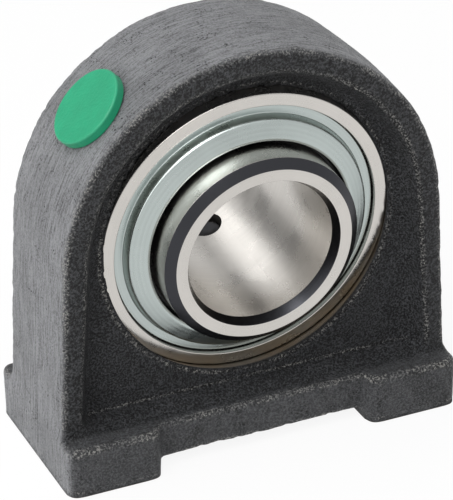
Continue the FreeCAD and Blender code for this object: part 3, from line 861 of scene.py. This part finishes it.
def inner_ring_profile():
    """The inner ring: bore, chamfered ends, ground outside and a ball race."""
    face_chamfer, bore_chamfer = 1.2, 1.65
    race = RACE_SHARE * 2 * BALL_RADIUS
    race_centre = PITCH_RADIUS - BALL_RADIUS - RACE_GAP + race
    race_edge = math.degrees(math.acos((race_centre - LAND) / race))
    race_top = race * math.sin(math.radians(race_edge))
    ends = rounded([(BORE, INNER_FRONT + bore_chamfer, 0.15, 1),
                    (INNER_FACE_IN, INNER_FRONT, 0.12, 0),
                    (INNER_FACE_OUT, INNER_FRONT, 0.10, 1),
                    (LAND, INNER_FRONT + face_chamfer, 0.10, 0),
                    (LAND, -race_top, 0, 0), (LAND, race_top, 0, 0),
                    (LAND, INNER_REAR - face_chamfer, 0.10, 1),
                    (INNER_FACE_OUT, INNER_REAR, 0.10, 0),
                    (INNER_FACE_IN, INNER_REAR, 0.12, 1),
                    (BORE, INNER_REAR - bore_chamfer, 0.15, 0)])
    ball_race = arc_rows((race_centre, 0), race, 180 + race_edge, 180 - race_edge, 16)
    start = np.flatnonzero(np.isclose(ends[:, 1], -race_top))[0]
    return np.vstack([ends[:start], ball_race, ends[start + 2:]])


def shell_profile(sheet):
    """The front shell: a pressed washer with a flange, a shoulder and a rolled lip."""
    flange, slope, rise, roll = 1.5, 0.4, 1.7, 0.45
    flange_back, flange_front = SHELL_BACK, SHELL_BACK - sheet
    step = SHELL_OUT - flange
    shoulder, shoulder_top = step - slope, flange_front - rise
    rolled = SHELL_IN + roll
    corners = [(step - sheet, flange_back, 0.15, 0), (SHELL_OUT, flange_back, 0.12, 0),
               (SHELL_OUT, flange_front, 0.12, 0), (step, flange_front, 0.22, 0),
               (shoulder, shoulder_top, 0.75, 0), (rolled, SHELL_TOP, 0.55, 0),
               (SHELL_IN, SHELL_TOP + sheet / 2, 0.2, 0),
               (SHELL_IN, SHELL_TOP + 1.5 * sheet, 0.12, 0),
               (rolled, SHELL_TOP + sheet, 0.2, 0),
               (shoulder - sheet, shoulder_top + sheet, 0.4, 0)]
    return rounded(corners[::-1], steps=6)


def lip_profile():
    """The rubber lip: a flat ring whose inner edge thins and reaches outwards."""
    thickness, width = 0.9, 0.45
    back, front = LIP_BACK, LIP_BACK - thickness
    return rounded([(LIP_IN + 2 * width, back, 0.1, 0), (LIP_IN, LIP_TIP + width, 0.08, 0),
                    (LIP_IN, LIP_TIP, 0.08, 0), (LIP_IN + width, LIP_TIP, 0.12, 0),
                    (PITCH_RADIUS, front, 0.4, 0), (LIP_OUT, front, 0.1, 0),
                    (LIP_OUT, back, 0.1, 0)])


def washer_profile():
    """A flat washer with broken edges."""
    return rounded([(WASHER_IN, WASHER_FRONT, 0.08, 0), (WASHER_OUT, WASHER_FRONT, 0.08, 0),
                    (WASHER_OUT, WASHER_BACK, 0.08, 0), (WASHER_IN, WASHER_BACK, 0.08, 0)])


def screw_place(number):
    """A set screw's axis, its point, its radius and its length."""
    axis = np.array(joint(f"set_screw_travel_{number}")["axis"])
    points = node_points(f"set_screw_{number}")
    along = points @ axis
    across = points - np.outer(along, axis)
    centre = (across.max(0) + across.min(0)) / 2
    radius = np.linalg.norm(across - centre, axis=1).max()
    return axis, centre + axis * along.min(), radius, np.ptp(along)


def drill_hole(piece, drill):
    """Cut a closed drill shape out of a closed piece, and discard the drill."""
    cut = piece.modifiers.new("drill", "BOOLEAN")
    cut.operation, cut.solver, cut.object = "DIFFERENCE", "EXACT", drill
    mesh = modified_mesh(piece)
    piece.modifiers.clear()
    piece.data = mesh
    mesh.set_sharp_from_angle(angle=math.radians(40))
    bpy.data.objects.remove(drill)


class BEARING_OT_outer_ring(bpy.types.Operator):
    """Build the outer ring"""
    bl_idname = "bearing.outer_ring"
    bl_label = "Outer ring"

    def execute(self, context):
        look = context.scene.bearing_insert
        piece = turned_ring("outer_race", outer_ring_profile(), look.around)
        keep(piece, ring_steel(look), "insert", "bearing_steel", "outer_ring")
        return {"FINISHED"}


class BEARING_OT_seals(bpy.types.Operator):
    """Build the two seals: shells, rubber lips and backing washers"""
    bl_idname = "bearing.seals"
    bl_label = "Seals"

    def execute(self, context):
        look = context.scene.bearing_insert
        zinc = turned_metal("zinc_plate", look.zinc, look.dark_steel, 2500.0,
                            (0.22, 0.36), 0.4, 0.000008)
        rubber = plain_surface("black_rubber", look.rubber, (0.45, 0.60), 0.0, 400.0,
                               0.00002, IOR=1.5)
        rings = (("shell", shell_profile(look.sheet / MM), zinc, "zinc_plated_steel"),
                 ("lip", lip_profile(), rubber, "seal_rubber"),
                 ("backing_washer", washer_profile(), zinc, "zinc_plated_steel"))
        for part, profile, material, slot in rings:
            for side in ("front", "rear"):
                shape = profile if side == "front" else mirrored(profile)
                piece = turned_ring(f"{side}_{part}", shape, look.around)
                keep(piece, material, "insert", slot, f"{side}_seal_{part}")
        return {"FINISHED"}


class BEARING_OT_inner_ring(bpy.types.Operator):
    """Build the inner ring with its two screw holes"""
    bl_idname = "bearing.inner_ring"
    bl_label = "Inner ring"

    def execute(self, context):
        look = context.scene.bearing_insert
        clearance, inwards, outwards = 0.05, -6.0, 8.0
        piece = turned_ring("inner_race", inner_ring_profile(), look.around)
        for number in (1, 2):
            axis, origin, radius = screw_place(number)[:3]
            wall = radius + clearance
            grid = grid_about_z([POLE, wall, wall, POLE],
                                [inwards, inwards, outwards, outwards], 64)
            drill_hole(piece, capped_surface("drill", grid, frame_about(axis, origin)))
        keep(piece, ring_steel(look), "shaft_ring", "bearing_steel", "inner_ring")
        return {"FINISHED"}


class BEARING_OT_balls(bpy.types.Operator):
    """Build the balls, and give the cage its nylon"""
    bl_idname = "bearing.balls"
    bl_label = "Balls and cage"

    def execute(self, context):
        look = context.scene.bearing_insert
        polished = plain_surface("bright_ball_steel", look.ball_steel,
                                 (0.06, 0.10), 1.0, 300.0, 0.000001)
        rise = np.linspace(-math.pi / 2, math.pi / 2, 33)
        ball = grid_about_z(BALL_RADIUS * np.cos(rise), BALL_RADIUS * np.sin(rise), 48)
        count = sum(name.startswith("ball_") and name[5:].isdigit()
                    for name in frame["nodes"])
        for number in range(1, count + 1):
            low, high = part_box(f"ball_{number}")
            centre = np.array(low + high) / 2 / MM
            piece = capped_surface(f"steel_ball_{number}", ball,
                                   frame_about(SPIN_AXIS, centre))
            keep(piece, polished, f"ball_{number}", "polished_ball_steel",
                 f"ball_{number}")
        nylon = plain_surface("ivory_nylon", look.nylon, (0.35, 0.5), 0.0, 300.0, 0.00001,
                              IOR=1.53)
        for slot in frame["nodes"]["ball_cage"].material_slots:
            slot.material = nylon
        return {"FINISHED"}


def screw_grid(radius, length, pitch, socket):
    """A headless screw with its Z axis from point to socket.

    Rows run from the middle of the cupped point, up the flank and down the
    socket.  On the flank the radius falls by a triangle wave of z over the
    pitch less the turn, which makes the thread; in the socket it is a hexagon,
    its half width over the cosine of the angle from the middle of a side.
    """
    cup_depth, bevel_height, socket_depth = 0.5, 0.5, 2.4
    thread_share = 0.54     # the thread's depth, as a share of the pitch
    rows_in_a_turn = 14
    turn = np.linspace(0, 2 * math.pi, 72, endpoint=False)
    depth = thread_share * pitch
    heights = np.linspace(0, length, int(length / pitch * rows_in_a_turn) + 1)
    winding = (heights[:, None] / pitch - turn / (2 * math.pi)) % 1
    wave = np.clip(np.abs(2 * winding - 1) * 1.3 - 0.15, 0, 1)
    bevel = np.clip(np.minimum(heights, length - heights) / bevel_height, 0, 1)[:, None]
    flank = np.minimum(radius - depth * wave, radius - depth * 1.05 * (1 - bevel))
    across = np.abs((turn + math.pi / 6) % (math.pi / 3) - math.pi / 6)
    hexagon = socket / 2 / np.cos(across)
    floor = length - socket_depth
    rows = [(0, cup_depth), (0.45 * radius, 0.7 * cup_depth), (0.72 * radius, 0)]
    rows += list(zip(flank, heights))
    rows += [(1.10 * hexagon, length), (1.02 * hexagon, length - 0.03),
             (hexagon, length - 0.15), (hexagon, floor), (0.5 * hexagon, floor - 0.2),
             (0, floor - 0.4)]
    return np.array([np.column_stack([size * np.cos(turn), size * np.sin(turn),
                                      height + 0 * turn]) for size, height in rows])


class BEARING_OT_set_screws(bpy.types.Operator):
    """Build the two set screws"""
    bl_idname = "bearing.set_screws"
    bl_label = "Set screws"

    def execute(self, context):
        look = context.scene.bearing_insert
        black = plain_surface("black_oxide", look.black_oxide, (0.30, 0.45), 1.0, 500.0,
                              0.00001)
        for number in (1, 2):
            axis, origin, radius, length = screw_place(number)
            grid = screw_grid(radius, length, look.thread_pitch / MM, look.socket / MM)
            piece = capped_surface(f"grub_screw_{number}", grid, frame_about(axis, origin))
            keep(piece, black, f"screw_{number}", "blackened_screw",
                 f"set_screw_{number}")
        return {"FINISHED"}


class BEARING_OT_plug(bpy.types.Operator):
    """Build the green plug over the grease hole"""
    bl_idname = "bearing.plug"
    bl_label = "Grease plug"

    def execute(self, context):
        look = context.scene.bearing_plug
        points = node_points("grease_plug")
        along = points @ PLUG_AXIS
        off_axis = points - np.outer(along, PLUG_AXIS)
        centre = (off_axis.max(0) + off_axis.min(0)) / 2
        radii = np.linalg.norm(off_axis - centre, axis=1)
        head, top, tip = radii.max(), along.max(), along.min()
        nearly = 0.01
        low = along[radii > head - nearly].min()
        stem = radii[along < tip + nearly].max()
        profile = rounded([(POLE, tip, 0, 0), (stem, tip, 0.25, 0), (stem, low, 0.1, 0),
                           (head, low, 0.12, 0), (head, top, look.rounding / MM, 0),
                           (POLE, top, 0, 0)], steps=6)
        grid = grid_about_z(profile[:, 0], profile[:, 1], 128)
        plastic = plain_surface("plug_plastic", look.plastic, (0.34, 0.46), 0.0, 220.0,
                                0.00002, IOR=1.46)
        piece = capped_surface("plug_cap", grid, frame_about(PLUG_AXIS, centre))
        keep(piece, plastic, "plug", "green_plastic", "grease_plug")
        return {"FINISHED"}


# ------------------------------------------------------------ the stage

def seen_rays(tree):
    """1 for rays from the camera, a reflection or a refraction; the floor glows in them."""
    path = tree.nodes.new("ShaderNodeLightPath").outputs
    seen = calc(tree, "MAXIMUM", path["Is Camera Ray"], path["Is Glossy Ray"])
    return calc(tree, "MAXIMUM", seen, path["Is Transmission Ray"])


# Name, place, size and power of each light.
SOFTBOXES = (("top_softbox", (-0.35, 0.30, 0.95), (1.6, 1.1), 6.5),
             ("key_softbox", (-0.45, -0.55, 0.95), (0.8, 0.8), 10.0),
             ("left_softbox", (-1.0, -0.10, 0.35), (1.0, 0.8), 4.0))

# Directions of two darker parts of the room, which only reflections see.
DARK_PARTS = ((0.08, 0.81, 0.58), (-0.55, 0.80, 0.20))


def softbox(name, place, size, power):
    """A rectangular area light that points at the origin."""
    light = bpy.data.lights.new(name, "AREA")
    light.shape = "RECTANGLE"
    light.size, light.size_y = size
    light.energy = power
    lamp = linked(name, light)
    lamp.location = place
    lamp.rotation_euler = (-Vector(place)).to_track_quat("-Z", "Y").to_euler()


class BEARING_OT_stage(bpy.types.Operator):
    """Build the floor, the lights and the camera"""
    bl_idname = "bearing.stage"
    bl_label = "Stage"

    def execute(self, context):
        look = context.scene.bearing_stage
        scene = context.scene
        scene.view_settings.view_transform = "Standard"

        reach, gap = 3000.0, 0.02
        level = HOUSING_LOW[2] - gap
        corners = np.array([(-reach, -reach, level), (reach, -reach, level),
                            (reach, reach, level), (-reach, reach, level)])
        floor = write_mesh("floor", corners, [(0, 1, 2, 3)])
        material, tree, shader = new_material("pale_floor")
        set_shader(tree, shader, Base_Color=rgba(look.floor), Roughness=0.9,
                   Specular_IOR_Level=0.1)
        glow = add(tree, "ShaderNodeEmission", {"Color": (1, 1, 1, 1), "Strength": 1.0})
        share = times(tree, seen_rays(tree), 0.9)
        mix = add(tree, "ShaderNodeMixShader", {0: share, 1: shader.outputs[0],
                                                2: glow.outputs[0]})
        output = next(item for item in tree.nodes
                      if item.bl_idname == "ShaderNodeOutputMaterial")
        tree.links.new(mix.outputs[0], output.inputs["Surface"])
        floor.data.materials.append(material)

        world = bpy.data.worlds.new("studio")
        scene.world = world
        world.use_nodes = True
        tree = world.node_tree
        background = next(item for item in tree.nodes
                          if item.bl_idname == "ShaderNodeBackground")
        background.inputs["Color"].default_value = (1, 1, 1, 1)
        path = tree.nodes.new("ShaderNodeLightPath").outputs
        toward = add(tree, "ShaderNodeTexCoord").outputs["Generated"]
        reflected, lit, seen_white = 0.85, 0.25, 1.0
        room = reflected
        for direction in DARK_PARTS:
            nearness = add(tree, "ShaderNodeVectorMath", {0: toward, 1: direction},
                           operation="DOT_PRODUCT").outputs["Value"]
            room = times(tree, room, ramp(tree, nearness, 0.90, 0.995, 1, 0.25))
        strength = blend_value(tree, path["Is Glossy Ray"], lit, room)
        seen = calc(tree, "MAXIMUM", path["Is Camera Ray"], path["Is Transmission Ray"])
        strength = blend_value(tree, seen, strength, seen_white)
        tree.links.new(strength, background.inputs["Strength"])

        for light in SOFTBOXES:
            softbox(*light)

        lens = bpy.data.cameras.new("camera")
        lens.lens = look.focal_length
        lens.sensor_width = 36.0
        lens.clip_start = 0.01
        camera = linked("camera", lens)
        camera.location = look.camera_place
        camera.rotation_euler = look.camera_turn
        scene.camera = camera
        return {"FINISHED"}


# ------------------------------------------------------------ panel and registration

OPERATORS = (BEARING_OT_stage, BEARING_OT_casting, BEARING_OT_outer_ring,
             BEARING_OT_seals, BEARING_OT_inner_ring, BEARING_OT_balls,
             BEARING_OT_set_screws, BEARING_OT_plug)
LOOKS = {"bearing_stage": StageLook, "bearing_casting": CastingLook,
         "bearing_insert": InsertLook, "bearing_plug": PlugLook}


class BEARING_PT_panel(bpy.types.Panel):
    """Lists the pieces with their sizes and colours"""
    bl_idname = "BEARING_PT_panel"
    bl_label = "Housed ball bearing"
    bl_space_type = "VIEW_3D"
    bl_region_type = "UI"
    bl_category = "Bearing"

    def draw(self, context):
        for operator in OPERATORS:
            self.layout.operator(operator.bl_idname)
        for name, group in LOOKS.items():
            box = self.layout.box()
            box.label(text=group.__doc__)
            for key in group.__annotations__:
                box.prop(getattr(context.scene, name), key)


def register():
    for name, group in LOOKS.items():
        bpy.utils.register_class(group)
        setattr(bpy.types.Scene, name, PointerProperty(type=group))
    for item in (*OPERATORS, BEARING_PT_panel):
        bpy.utils.register_class(item)


def unregister():
    for item in reversed((*OPERATORS, BEARING_PT_panel)):
        bpy.utils.unregister_class(item)
    for name, group in reversed(LOOKS.items()):
        delattr(bpy.types.Scene, name)
        bpy.utils.unregister_class(group)


def main():
    register()
    bpy.ops.bearing.stage()
    bpy.ops.bearing.casting()
    bpy.ops.bearing.outer_ring()
    bpy.ops.bearing.seals()
    bpy.ops.bearing.inner_ring()
    bpy.ops.bearing.balls()
    bpy.ops.bearing.set_screws()
    bpy.ops.bearing.plug()


if __name__ == "__main__":
    main()
